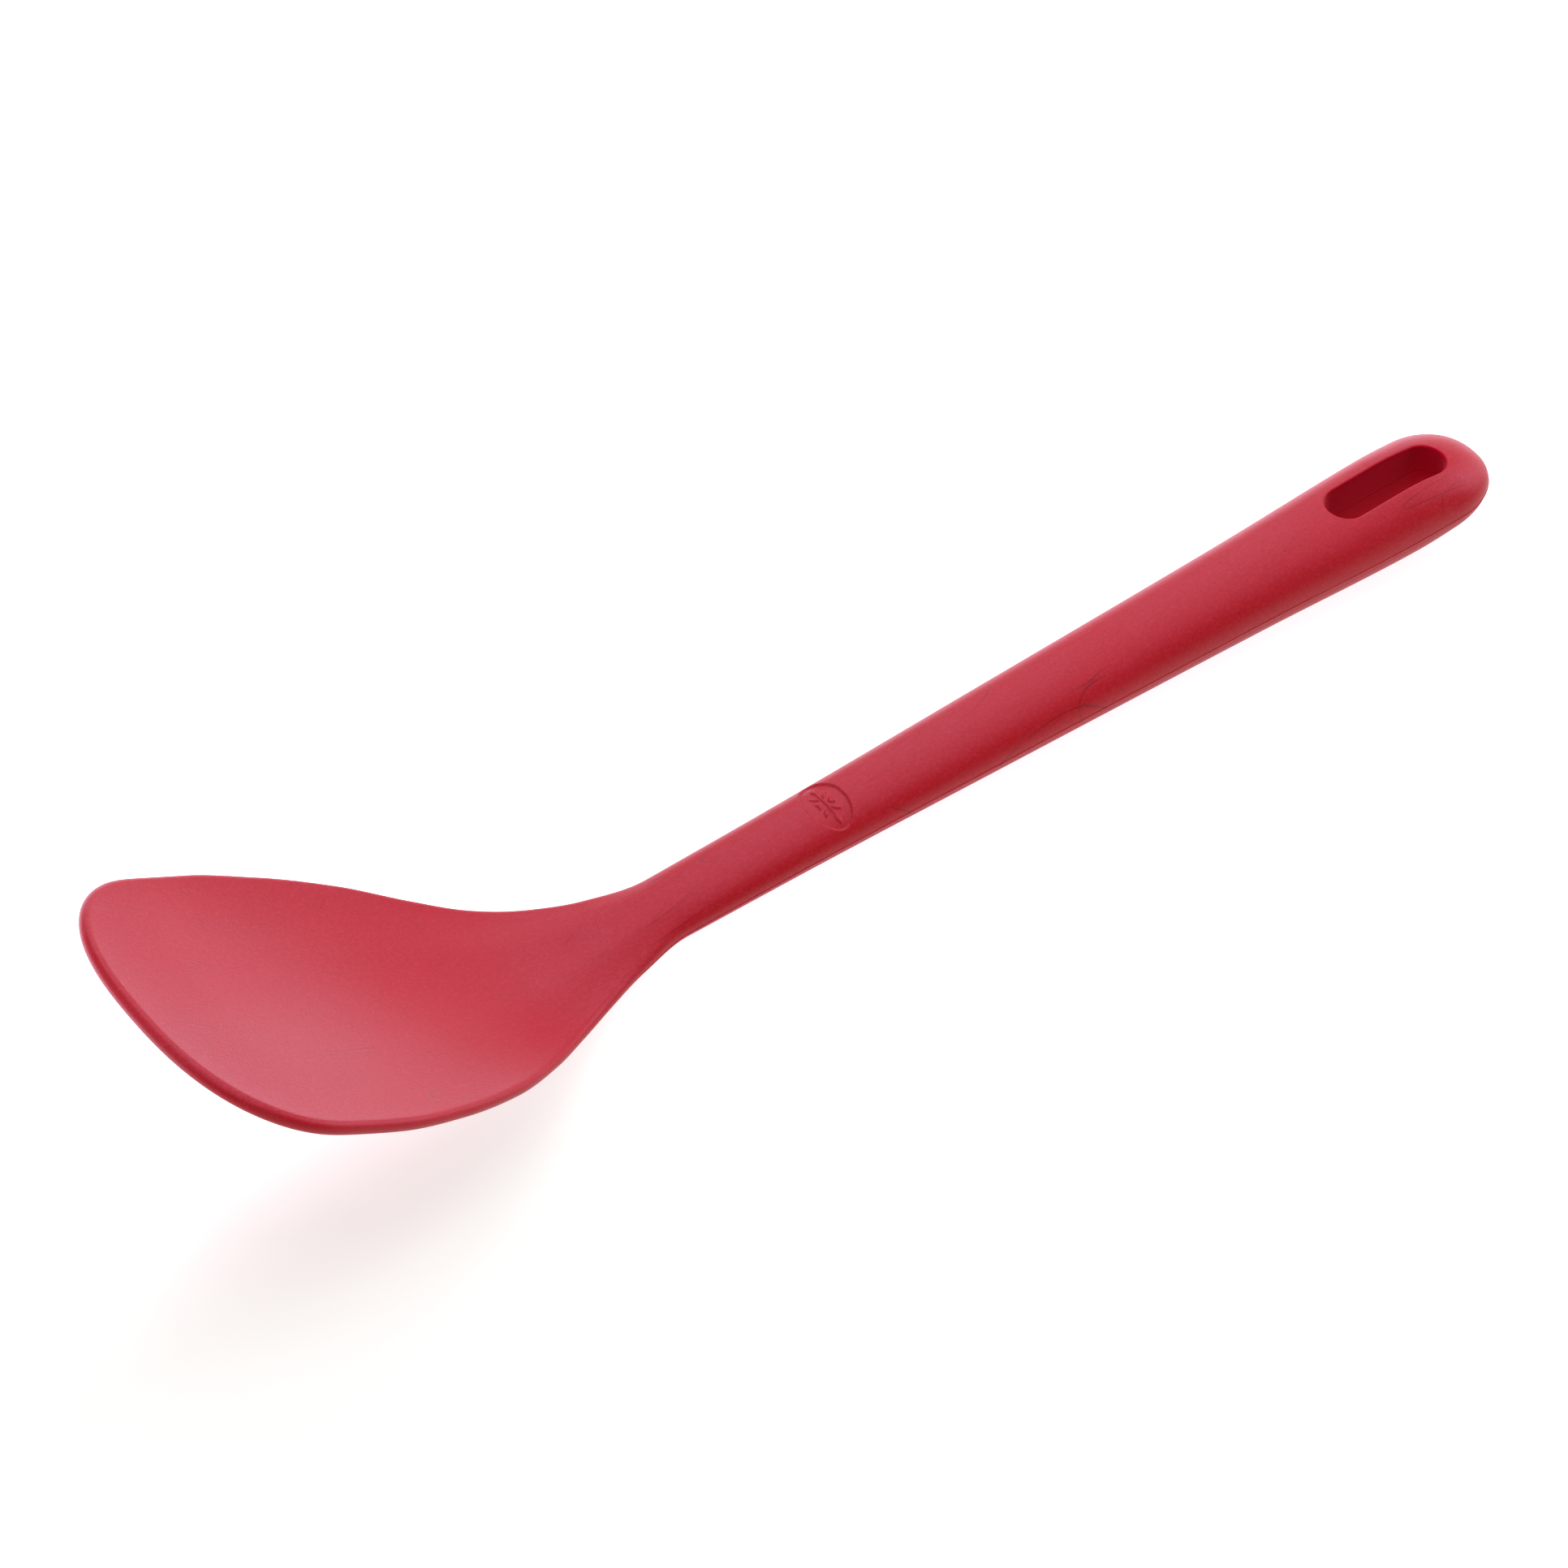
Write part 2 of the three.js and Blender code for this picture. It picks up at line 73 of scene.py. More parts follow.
CLIMB = [(0, 36.8), (41, 34.2), (82, 21.4), (104, 3.4), (116, 0), (270, 0), (LENGTH, -2.2)]
DISH_RISE = [(0, 1.7), (31, 3.2), (77, 6.3), (103, 6.1), (129, 0), (LENGTH, 0)]
DISH_RISE_AT = 38.0
SLOT_CENTRE = 296.4
SLOT_LENGTH = 28.3
SLOT_RADIUS = 4.3
SLOT_RIM = 0.6
SLOT_HALF_STRAIGHT = SLOT_LENGTH / 2 - SLOT_RADIUS
SLOT_FIRST_ARC = SLOT_CENTRE - SLOT_HALF_STRAIGHT
SLOT_LAST_ARC = SLOT_CENTRE + SLOT_HALF_STRAIGHT
TILT = -math.atan(HANDLE_THICKENING)

# ---- Fine features of the silicone -------------------------------------------------------------

PARTING_HEIGHT = 0.14  # how far the mould's parting line stands out of the handle's sides
PARTING_HALF_WIDTH = 0.2
PARTING_LEVEL = -0.3  # it runs this far below the middle surface
PARTING_FADE = (104.0, 118.0)  # it comes in over this stretch of the neck
PARTING_REACH = 1.5  # it is looked for no further in from the outline than this
SEAM_DEPTH = 0.06  # of the fine line half way down the slot's wall
SEAM_HALF_WIDTH = 0.1
BADGE_CENTRE = 160.5
BADGE_HALF_LENGTH = 4.3
BADGE_HALF_WIDTH = 6.4
BADGE_DEPTH = 0.4
BADGE_EDGE = 0.3  # over which the recess's edge falls
MOTIF_RISE = 0.26  # of the leaf sprig above the recess's floor
STEM_HALF_WIDTH = 0.22
STEM_HALF_LENGTH = 4.6
STEM_SIDE_EDGE = 0.14  # over which its sides fall
STEM_END_EDGE = 0.5
SIDE_LEAF_ROOTS = (-2.6, -0.7, 1.2)  # where pairs of leaves leave the stem
SIDE_LEAF_OFFSET = (1.15, 0.75)  # from the root to the leaf's middle, out from the stem and along it
SIDE_LEAF_TURN = 0.75  # radians away from the stem
SIDE_LEAF_SIZE = (1.15, 0.46)  # half length and half width
TOP_LEAF_AT = 4.0
TOP_LEAF_SIZE = (1.3, 0.55)
LEAF_EDGE = 0.45  # the share of a leaf over which its edge falls

# ---- Curves and the shape of the part ----------------------------------------------------------


def through_knots(knots):
    """A smooth curve through the knots that never overshoots them (monotone cubic Hermite)."""
    x = np.array([k[0] for k in knots], float)
    y = np.array([k[1] for k in knots], float)
    slopes = np.diff(y) / np.diff(x)
    tangents = np.zeros_like(y)
    tangents[0] = slopes[0]
    tangents[-1] = slopes[-1]
    products = slopes[:-1] * slopes[1:]
    sums = slopes[:-1] + slopes[1:]
    rising = products > 0
    tangents[1:-1][rising] = 2 * products[rising] / sums[rising]

    def curve(at):
        at = np.asarray(at, float)
        i = np.clip(np.searchsorted(x, at, side="left") - 1, 0, len(x) - 2)
        step = x[i + 1] - x[i]
        t = np.clip((at - x[i]) / step, 0, 1)
        start = t * (1 - t) ** 2 * step * tangents[i]
        end = t * t * (t - 1) * step * tangents[i + 1]
        return y[i] + t * t * (3 - 2 * t) * (y[i + 1] - y[i]) + start + end

    return curve


def round_off(depth, exponent):
    """1 where depth is 0 or less, falling to 0 at depth 1 along a superellipse."""
    return (1 - np.clip(depth, 0, 1) ** exponent) ** (1 / exponent)


def smoothstep(value, start, end):
    """0 up to start, 1 from end on, and a smooth rise between them."""
    t = np.clip((value - start) / (end - start), 0, 1)
    return t * t * (3 - 2 * t)


bare_half_width = through_knots(HALF_WIDTHS)
blade_half_thickness = through_knots(BLADE_HALF_THICKNESSES)
climb = through_knots(CLIMB)
dish_rise = through_knots(DISH_RISE)


def end_factor(s, rounding, inset):
    length, exponent = rounding
    return round_off((s - (LENGTH - length)) / (length - inset), exponent)


def half_width(s, inset=0.0):
    """Half of the width, drawn in by inset from the outline on the handle."""
    length, exponent = TIP_ROUND
    tip = round_off(1 - np.asarray(s, float) / length, exponent)
    return (bare_half_width(s) - inset) * tip * end_factor(s, END_ROUND, inset)


def half_thickness(s, inset=0.0):
    s = np.asarray(s, float)
    handle = HEEL_HALF_THICKNESS + HANDLE_THICKENING * (s - HEEL)
    bare = np.where(s < HEEL, blade_half_thickness(s), handle)
    return (bare - inset) * end_factor(s, END_TAPER, inset)


def pitch(s):
    """The centre line's angle below +X at s, in radians."""
    return np.radians(climb(s)) + TILT


SPINE_S = np.arange(0, LENGTH + 1)


def spine_points():
    """The centre line's x and z at each whole s, added up in steps of 1 from the handle's end."""
    angles = pitch(SPINE_S[:-1] + 0.5)[::-1]
    x = np.concatenate([[0], -np.cumsum(np.cos(angles))])[::-1]
    z = np.concatenate([[0], np.cumsum(np.sin(angles))])[::-1]
    return x, z


SPINE_X, SPINE_Z = spine_points()
MIDDLE_X = (SPINE_X[0] + SPINE_X[-1]) / 2
LEVEL_S = 200.0  # any place on the straight handle
LEVEL_HEIGHT = half_thickness(LEVEL_S) * round_off(LEVEL_STRIP / half_width(LEVEL_S), SECTION_EXPONENT)
TABLE_Z = np.interp(LEVEL_S, SPINE_S, SPINE_Z) - LEVEL_HEIGHT / math.cos(TILT)


def place(s, y, height):
    """The points in space, in metres, at (s, y, height)."""
    angle = pitch(s)
    off = height + dish_rise(s) * (y / DISH_RISE_AT) ** 2
    x = np.interp(s, SPINE_S, SPINE_X) - MIDDLE_X + off * np.sin(angle)
    z = np.interp(s, SPINE_S, SPINE_Z) - TABLE_Z + off * np.cos(angle)
    return np.stack(np.broadcast_arrays(x, y, z), -1) * MM


# ---- Meshes ------------------------------------------------------------------------------------

JOIN_WITHIN = 1e-8  # metres: corners closer than this are one vertex


def object_from_faces(name, corners):
    """A smooth mesh object from an (n, 4, 3) array of four-cornered faces. Equal corners are joined."""
    points = corners.reshape(-1, 3)
    keys = np.round(points / JOIN_WITHIN).astype(np.int64)
    _, first, index = np.unique(keys, axis=0, return_index=True, return_inverse=True)
    faces = [list(dict.fromkeys(face)) for face in index.reshape(-1, 4).tolist()]
    mesh = bpy.data.meshes.new(name)
    mesh.from_pydata(points[first].tolist(), [], [face for face in faces if len(face) > 2])
    mesh.shade_smooth()
    piece = bpy.data.objects.new(name, mesh)
    bpy.context.scene.collection.objects.link(piece)
    return piece


def faces_between(rows, flipped):
    """Four-cornered faces that join neighbouring points of an (r, p, 3) array of rows."""
    near = rows[:-1]
    far = rows[1:]
    faces = np.stack([near[:, :-1], far[:, :-1], far[:, 1:], near[:, 1:]], 2).reshape(-1, 4, 3)
    return faces[:, ::-1] if flipped else faces


# ---- The silicone's outside --------------------------------------------------------------------

RIB_POINTS = 64
TIP_RIBS = 56
BLADE_STEP = 0.9
HANDLE_STEP = 1.25
BADGE_STEP = 0.14
BLADE_END = 130.0
APPROACH = 12.0  # ribs start to lean this far before the slot
APPROACH_OUTER = 6.0  # the stretch of outline that the leaning ribs share
APPROACH_RIBS = 24
ARC_RIBS = 20
STRAIGHT_RIBS = 18
END_RIBS = 30
WALL_ROWS = 32
EDGE_CROWDING = 1.55  # above 1, points crowd more closely at the outline
BADGE_ZONE = (4.8, 9.0)  # half lengths of the stretch with even spacing across the badge
BADGE_EDGE_POINTS = 0.3  # the share of a rib's points that stay outside the badge's width
BADGE_INSIDE = 6.9  # half the width across which the other points are evenly spaced
BADGE_CROWDING = 2.5  # how strongly the points outside it crowd at the outline


def steps(start, end, step):
    count = max(1, round((end - start) / step))
    return np.linspace(start, end, count, endpoint=False)


def rib_ends():
    """Half ribs from the outline in to the centre line or the slot's wall, as four arrays.

    outer_s is each rib's place on the outline, inner its other end as (s, y), lean how far its
    points are spaced for the slot's rim, and in_slot whether it ends on the slot's wall.
    """
    apex = SLOT_FIRST_ARC - SLOT_RADIUS
    lean_start = apex - APPROACH
    first = lean_start + APPROACH_OUTER
    rows = []
    for angle in np.linspace(0, math.pi / 2, TIP_RIBS, endpoint=False):
        rows.append((TIP_ROUND[0] * (1 - math.cos(angle)), TIP_ROUND[0], 0, 0, False))
    badge_start = BADGE_CENTRE - BADGE_ZONE[0]
    badge_end = BADGE_CENTRE + BADGE_ZONE[0]
    plain = [
        steps(TIP_ROUND[0], BLADE_END, BLADE_STEP),
        steps(BLADE_END, badge_start, HANDLE_STEP),
        steps(badge_start, badge_end, BADGE_STEP),
        steps(badge_end, lean_start, HANDLE_STEP),
    ]
    for s in np.concatenate(plain):
        rows.append((s, s, 0, 0, False))
    for t in np.arange(APPROACH_RIBS) / APPROACH_RIBS:
        inner = lean_start + APPROACH * math.sin(math.pi / 2 * t)
        rows.append((lean_start + APPROACH_OUTER * t, inner, 0, t, False))
    for angle in np.linspace(0, math.pi / 2, ARC_RIBS, endpoint=False):
        inner = (SLOT_FIRST_ARC - SLOT_RADIUS * math.cos(angle), SLOT_RADIUS * math.sin(angle))
        outer = first + (SLOT_FIRST_ARC - first) * (1 - math.cos(angle))
        rows.append((outer, *inner, 1, True))
    for s in np.linspace(SLOT_FIRST_ARC, SLOT_LAST_ARC, STRAIGHT_RIBS, endpoint=False):
        rows.append((s, s, SLOT_RADIUS, 1, True))
    for angle in np.linspace(math.pi / 2, 0, END_RIBS):
        inner = (SLOT_LAST_ARC + SLOT_RADIUS * math.cos(angle), SLOT_RADIUS * math.sin(angle))
        outer = SLOT_LAST_ARC + (LENGTH - SLOT_LAST_ARC) * math.cos(angle)
        rows.append((outer, *inner, 1, True))
    outer_s, inner_s, inner_y, lean, in_slot = (np.array(column) for column in zip(*rows))
    return outer_s, np.stack([inner_s, inner_y], -1), lean, in_slot


def inward_shares(outer_s, lean):
    """How far in from the outline each point of each rib lies, from 0 to 1, as an (r, p) array."""
    t = np.linspace(0, 1, RIB_POINTS + 1)[None]
    crowded = t**EDGE_CROWDING
    plain = 1 - np.cos(math.pi / 2 * crowded)
    slot = (1 - np.cos(math.pi * crowded)) / 2
    edge = 1 - BADGE_INSIDE / half_width(BADGE_CENTRE)
    outside = edge * (t / BADGE_EDGE_POINTS) ** BADGE_CROWDING
    inside = edge + (1 - edge) * (t - BADGE_EDGE_POINTS) / (1 - BADGE_EDGE_POINTS)
    badge = np.where(t < BADGE_EDGE_POINTS, outside, inside)
    near_badge = 1 - smoothstep(np.abs(outer_s - BADGE_CENTRE), *BADGE_ZONE)[:, None]
    lean = lean[:, None]
    return (plain * (1 - near_badge) + badge * near_badge) * (1 - lean) + slot * lean


def slot_distance(s, y):
    along = np.maximum(np.abs(s - SLOT_CENTRE) - SLOT_HALF_STRAIGHT, 0)
    return np.hypot(along, y) - SLOT_RADIUS


def cover_height(s, y, from_edge, side):
    """How far the top (side 1) or underside (side -1) is from the middle surface at (s, y)."""
    to_handle = smoothstep(s, *BLADE_TO_HANDLE)
    full = half_thickness(s)
    taper = np.minimum(LIP_TAPER, LIP_TAPER_SHARE * bare_half_width(s))
    past_lip = smoothstep(from_edge, LIP_ROUND, taper)
    plate = LIP_HALF_THICKNESS * (1 - past_lip) + full * past_lip
    plate = plate * round_off(1 - from_edge / LIP_ROUND, 2)
    sideways = np.maximum(np.abs(y), LEVEL_STRIP if side < 0 else 0)
    across = np.clip(sideways / np.maximum(half_width(s), 1e-6), 0, 1)
    oval = full * round_off(across, SECTION_EXPONENT)
    height = plate * (1 - to_handle) + oval * to_handle
    in_rim = np.clip(SLOT_RIM - slot_distance(s, y), 0, SLOT_RIM)
    height = height - (SLOT_RIM - np.sqrt(SLOT_RIM**2 - in_rim**2))
    height[:, 0] = 0
    return height


def leaf_shape(u, v, centre, angle, half_size):
    """1 inside a pointed leaf, falling smoothly to 0 at its edge."""
    du = u - centre[0]
    dv = v - centre[1]
    along = (du * math.cos(angle) + dv * math.sin(angle)) / half_size[0]
    across = (-du * math.sin(angle) + dv * math.cos(angle)) / half_size[1]
    edge = np.maximum(1 - along**2, 0) - np.abs(across)
    return smoothstep(edge, 0, LEAF_EDGE)


def leaf_sprig(u, v):
    """1 on a stem along v with pairs of side leaves and one leaf at its end, and 0 off them."""
    stem_side = smoothstep(STEM_HALF_WIDTH - np.abs(u), 0, STEM_SIDE_EDGE)
    sprig = stem_side * smoothstep(STEM_HALF_LENGTH - np.abs(v), 0, STEM_END_EDGE)
    out, along = SIDE_LEAF_OFFSET
    for root in SIDE_LEAF_ROOTS:
        for side in (-1, 1):
            angle = math.pi / 2 - side * SIDE_LEAF_TURN
            leaf = leaf_shape(u, v, (side * out, root + along), angle, SIDE_LEAF_SIZE)
            sprig = np.maximum(sprig, leaf)
    return np.maximum(sprig, leaf_shape(u, v, (0, TOP_LEAF_AT), math.pi / 2, TOP_LEAF_SIZE))


def badge_depth(s, y):
    """The depth of the oval recess in the handle's top, with a plain leaf sprig left standing in it."""
    u = s - BADGE_CENTRE
    radius = np.hypot(u / BADGE_HALF_LENGTH, y / BADGE_HALF_WIDTH)
    from_edge = (1 - radius) * BADGE_HALF_LENGTH
    recess = BADGE_DEPTH * smoothstep(from_edge, 0, BADGE_EDGE)
    inside_edge = smoothstep(from_edge, BADGE_EDGE, 2 * BADGE_EDGE)
    return recess - MOTIF_RISE * leaf_sprig(u, y) * inside_edge


def outside_faces():
    """All the faces of the silicone's outside, and of the slot's wall."""
    outer_s, inner, lean, in_slot = rib_ends()
    outer = np.stack([outer_s, half_width(outer_s)], -1)
    inward = inner - outer
    run = np.hypot(inward[:, 0], inward[:, 1])
    inward = inward / run[:, None]
    outline = np.gradient(outer, axis=0)
    outline = outline / np.hypot(outline[:, 0], outline[:, 1])[:, None]
    square_on = np.abs(outline[:, 0] * inward[:, 1] - outline[:, 1] * inward[:, 0])
    share = inward_shares(outer_s, lean)
    from_edge = share * run[:, None]
    s = outer[:, :1] + from_edge * inward[:, :1]
    y = outer[:, 1:] + from_edge * inward[:, 1:]
    y[:, -1] = inner[:, 1]
    square_edge = from_edge * square_on[:, None]
    heights = {side: cover_height(s, y, square_edge, side) for side in (1, -1)}
    parting = PARTING_HEIGHT * smoothstep(s, *PARTING_FADE)
    faces = []
    for side in (1, -1):
        height = heights[side]
        level = side * height - PARTING_LEVEL
        ridge = parting * np.exp(-((level / PARTING_HALF_WIDTH) ** 2))
        ridge = np.where(from_edge < PARTING_REACH, ridge, 0)
        ridged_s = s - ridge * inward[:, :1]
        ridged_y = y - ridge * inward[:, 1:]
        sunk = height - badge_depth(s, y) if side > 0 else height
        for mirror in (1, -1):
            points = place(ridged_s, mirror * ridged_y, side * sunk)
            faces.append(faces_between(points, side * mirror > 0))
    wall = slot_wall(inner[in_slot], heights[1][in_slot, -1], heights[-1][in_slot, -1])
    for mirror in (1, -1):
        faces.append(faces_between(place(wall[0], mirror * wall[1], wall[2]), mirror > 0))
    return np.concatenate(faces)


def slot_wall(edge, top, under):
    """The slot's wall as (s, y, height) arrays, from its top edge down, with the fine seam in it."""
    t = np.linspace(1, -1, WALL_ROWS + 1)[None]
    height = np.where(t > 0, top[:, None], -under[:, None]) * t**2
    depth = SEAM_DEPTH * np.exp(-((height / SEAM_HALF_WIDTH) ** 2))
    arc_s = np.clip(edge[:, 0], SLOT_FIRST_ARC, SLOT_LAST_ARC)
    out = np.stack([edge[:, 0] - arc_s, edge[:, 1]], -1) / SLOT_RADIUS
    s = edge[:, :1] + depth * out[:, :1]
    y = edge[:, 1:] + depth * out[:, 1:]
    return s, y, height


# Two masks, which the silicone's material reads, say how it looks at each point.
SLOT_MASK_REACH = (0.3, 0.05)  # mm from the slot's wall, over which its deeper colour, a painted violet sheen, comes in
LIP_MASK_REACH = (0.2, 1.6)  # mm in from the blade's outline, over which the rubbed lip fades


def paint_masks(piece):
    """Adds the point attributes in_slot and on_lip to the silicone."""
    mesh = piece.data
    points = np.empty(len(mesh.vertices) * 3)
    mesh.vertices.foreach_get("co", points)
    x, y, _ = points.reshape(-1, 3).T / MM
    s = np.interp(x, SPINE_X - MIDDLE_X, SPINE_S)
    slot = smoothstep(-slot_distance(s, y), -SLOT_MASK_REACH[0], -SLOT_MASK_REACH[1])
    from_side = half_width(s) - np.abs(y)
    lip = (1 - smoothstep(from_side, *LIP_MASK_REACH)) * (1 - smoothstep(s, *BLADE_TO_HANDLE))
    for name, values in (("in_slot", slot), ("on_lip", lip)):
        mesh.attributes.new(name, "FLOAT", "POINT").data.foreach_set("value", values)


# ---- Materials ---------------------------------------------------------------------------------


def new_material(name):
    """A node material with its Principled shader, as (material, nodes, links, shader)."""
    material = bpy.data.materials.new(name)
    material.use_nodes = True
    tree = material.node_tree
    return material, tree.nodes, tree.links, tree.nodes["Principled BSDF"]


MIDDLE_TONES = (0.3, 0.7)  # most of a noise texture lies between these


def noise(tree_nodes, links, scale, detail, stretch=(1, 1, 1), roughness=0.5, turn=0):
    """A noise in object space with that many features to a metre, turned in degrees and stretched."""
    coordinates = tree_nodes.new("ShaderNodeTexCoord")
    mapping = tree_nodes.new("ShaderNodeMapping")
    mapping.inputs["Rotation"].default_value = (0, 0, math.radians(turn))
    mapping.inputs["Scale"].default_value = stretch
    texture = tree_nodes.new("ShaderNodeTexNoise")
    texture.inputs["Scale"].default_value = scale
    texture.inputs["Detail"].default_value = detail
    texture.inputs["Roughness"].default_value = roughness
    links.new(coordinates.outputs["Object"], mapping.inputs["Vector"])
    links.new(mapping.outputs["Vector"], texture.inputs["Vector"])
    return texture.outputs["Fac"]


def remap(tree_nodes, links, value, low, high, to_low, to_high, smooth=False):
    """The value with low to high turned into to_low to to_high, and held there beyond them."""
    node = tree_nodes.new("ShaderNodeMapRange")
    if smooth:
        node.interpolation_type = "SMOOTHSTEP"
    node.inputs["From Min"].default_value = low
    node.inputs["From Max"].default_value = high
    node.inputs["To Min"].default_value = to_low
    node.inputs["To Max"].default_value = to_high
    links.new(value, node.inputs["Value"])
    return node.outputs["Result"]


def math_node(tree_nodes, links, operation, first, second):
    """The two values put together. Each is a number or another node's output."""
    node = tree_nodes.new("ShaderNodeMath")
    node.operation = operation
    for socket, value in zip(node.inputs, (first, second)):
        if isinstance(value, (int, float)):
            socket.default_value = value
        else:
            links.new(value, socket)
    return node.outputs["Value"]


def mix_colours(tree_nodes, links, factor, first, second):
    """The first colour where factor is 0 and the second where it is 1."""
    node = tree_nodes.new("ShaderNodeMix")
    node.data_type = "RGBA"
    links.new(factor, node.inputs["Factor"])
    for socket, value in ((node.inputs["A"], first), (node.inputs["B"], second)):
        if isinstance(value, tuple):
            socket.default_value = (*value, 1)
        else:
            links.new(value, socket)
    return node.outputs["Result"]


def bump(tree_nodes, links, height, distance, under=None):
    """A normal for that relief, distance metres deep, on top of the relief in under."""
    node = tree_nodes.new("ShaderNodeBump")
    node.inputs["Strength"].default_value = 1
    node.inputs["Distance"].default_value = distance
    links.new(height, node.inputs["Height"])
    if under is not None:
        links.new(under, node.inputs["Normal"])
    return node.outputs["Normal"]


def mask(tree_nodes, name):
    """The point attribute of that name."""
    node = tree_nodes.new("ShaderNodeAttribute")
    node.attribute_name = name
    return node.outputs["Fac"]


def scuffs(tree_nodes, links, scale, turn, stretch, width):
    """Thin lines where a stretched noise crosses its middle value, broken up by a second noise."""
    waves = noise(tree_nodes, links, scale, 0, stretch=stretch, turn=turn)
    off_middle = math_node(tree_nodes, links, "SUBTRACT", waves, 0.5)
    distance = math_node(tree_nodes, links, "ABSOLUTE", off_middle, 0)
    line = remap(tree_nodes, links, distance, 0, width, 1, 0)
    gaps = remap(tree_nodes, links, noise(tree_nodes, links, SCUFF_GAPS, 2), 0.5, 0.6, 0, 1)
    return math_node(tree_nodes, links, "MULTIPLY", line, gaps)


SCUFF_GAPS = 60  # to a metre, where the scuffs break off

SILICONE_RED = (0.425, 0.002, 0.004)
SILICONE_DEEP_RED = (0.39, 0.0016, 0.0035)
SILICONE_PALE = (0.49, 0.016, 0.026)  # where it is rubbed or dusty
SILICONE_FLECK = (0.2, 0.001, 0.002)
# A painted violet sheen for the slot's wall, standing in for the light it catches.
SLOT_PAINTED_SHEEN_RED = (0.42, 0.001, 0.012)
# How many blotches, dust spots, grains and specks go to a metre.
BLOTCHES = 28
DUST = 1500
GRAIN = 3400
SPECKS = 1300
GRAIN_DEPTH = 0.00004  # metres
SCUFF_DEPTH = 0.00002
LONG_SCUFFS = {"scale": 14, "turn": 8, "stretch": (1, 9, 1), "width": 0.004}
SHORT_SCUFFS = {"scale": 22, "turn": -38, "stretch": (1, 7, 1), "width": 0.003}
DUST_STRENGTH = 0.8
RUB_STRENGTH = 0.25
FLECK_STRENGTH = 0.6
SCUFF_STRENGTH = 0.7
SILICONE_ROUGHNESS = (0.42, 0.48)
SCUFF_SMOOTHING = 0.06  # a scuff is this much less rough
SLOT_ROUGHENING = 0.4
SPECULAR_LEVEL = 0.5
SLOT_SPECULAR_LEVEL = 0.05


def red_silicone():
    """Satin moulded silicone: fine grain, faint blotches, dark flecks and hairline scuffs, with a painted
    violet sheen on the slot's wall.
    """
    material, nodes, links, shader = new_material("red_silicone")
    blotches = noise(nodes, links, BLOTCHES, 3)
    dust = noise(nodes, links, DUST, 3, roughness=0.75)
    grain = noise(nodes, links, GRAIN, 2)
    specks = noise(nodes, links, SPECKS, 1)
    in_slot = mask(nodes, "in_slot")
    long_scuffs = scuffs(nodes, links, **LONG_SCUFFS)
    short_scuffs = scuffs(nodes, links, **SHORT_SCUFFS)
    scuffed = math_node(nodes, links, "MAXIMUM", long_scuffs, short_scuffs)
    rubbed = math_node(nodes, links, "MULTIPLY", mask(nodes, "on_lip"), RUB_STRENGTH)
    dusty = remap(nodes, links, dust, 0.45, 0.75, 0, DUST_STRENGTH)
    pale = math_node(nodes, links, "MAXIMUM", dusty, rubbed)
    fleck = remap(nodes, links, specks, 0.72, 0.77, 0, FLECK_STRENGTH)
    scuff_tone = math_node(nodes, links, "MULTIPLY", scuffed, SCUFF_STRENGTH)
    blotch_tone = remap(nodes, links, blotches, *MIDDLE_TONES, 0, 1)
    colour = mix_colours(nodes, links, blotch_tone, SILICONE_DEEP_RED, SILICONE_RED)
    colour = mix_colours(nodes, links, pale, colour, SILICONE_PALE)
    colour = mix_colours(nodes, links, scuff_tone, colour, SILICONE_FLECK)
    colour = mix_colours(nodes, links, fleck, colour, SILICONE_FLECK)
    # On the slot's wall the colour turns to the painted violet sheen.
    colour = mix_colours(nodes, links, in_slot, colour, SLOT_PAINTED_SHEEN_RED)
    links.new(colour, shader.inputs["Base Color"])
    rough = remap(nodes, links, blotches, *MIDDLE_TONES, *SILICONE_ROUGHNESS)
    smoother = math_node(nodes, links, "MULTIPLY", scuffed, -SCUFF_SMOOTHING)
    rough = math_node(nodes, links, "ADD", rough, smoother)
    rougher = math_node(nodes, links, "MULTIPLY", in_slot, SLOT_ROUGHENING)
    rough = math_node(nodes, links, "ADD", rough, rougher)
    links.new(rough, shader.inputs["Roughness"])
    specular = remap(nodes, links, in_slot, 0, 1, SPECULAR_LEVEL, SLOT_SPECULAR_LEVEL)
    links.new(specular, shader.inputs["Specular IOR Level"])
    fine = bump(nodes, links, grain, GRAIN_DEPTH)
    links.new(bump(nodes, links, scuffed, -SCUFF_DEPTH, under=fine), shader.inputs["Normal"])
    shader.inputs["IOR"].default_value = 1.38
    shader.inputs["Specular Tint"].default_value = (0.9, 0.85, 1, 1)
    shader.inputs["Sheen Weight"].default_value = 0.09
    shader.inputs["Sheen Roughness"].default_value = 0.35
    shader.inputs["Sheen Tint"].default_value = (1, 0.75, 1, 1)
    return material


NYLON_DARK = (0.2, 0.006, 0.01)
NYLON_LIGHT = (0.28, 0.02, 0.025)
NYLON_ROUGHNESS = (0.5, 0.68)
NYLON_RELIEF = 0.00004  # metres


def red_nylon():
    """Glass-filled nylon with short flecks along the handle."""
    material, nodes, links, shader = new_material("red_nylon")
    flecks = noise(nodes, links, 900, 4, stretch=(0.3, 1, 1))
    tone = remap(nodes, links, flecks, 0.35, 0.7, 0, 1)
    links.new(mix_colours(nodes, links, tone, NYLON_DARK, NYLON_LIGHT), shader.inputs["Base Color"])
    rough = remap(nodes, links, flecks, *MIDDLE_TONES, *NYLON_ROUGHNESS)
    links.new(rough, shader.inputs["Roughness"])
    links.new(bump(nodes, links, flecks, NYLON_RELIEF), shader.inputs["Normal"])
    return material


STEEL_DARK = (0.5, 0.51, 0.52)
STEEL_LIGHT = (0.64, 0.65, 0.66)
STEEL_ROUGHNESS = (0.22, 0.4)
STEEL_RELIEF = 0.00001  # metres


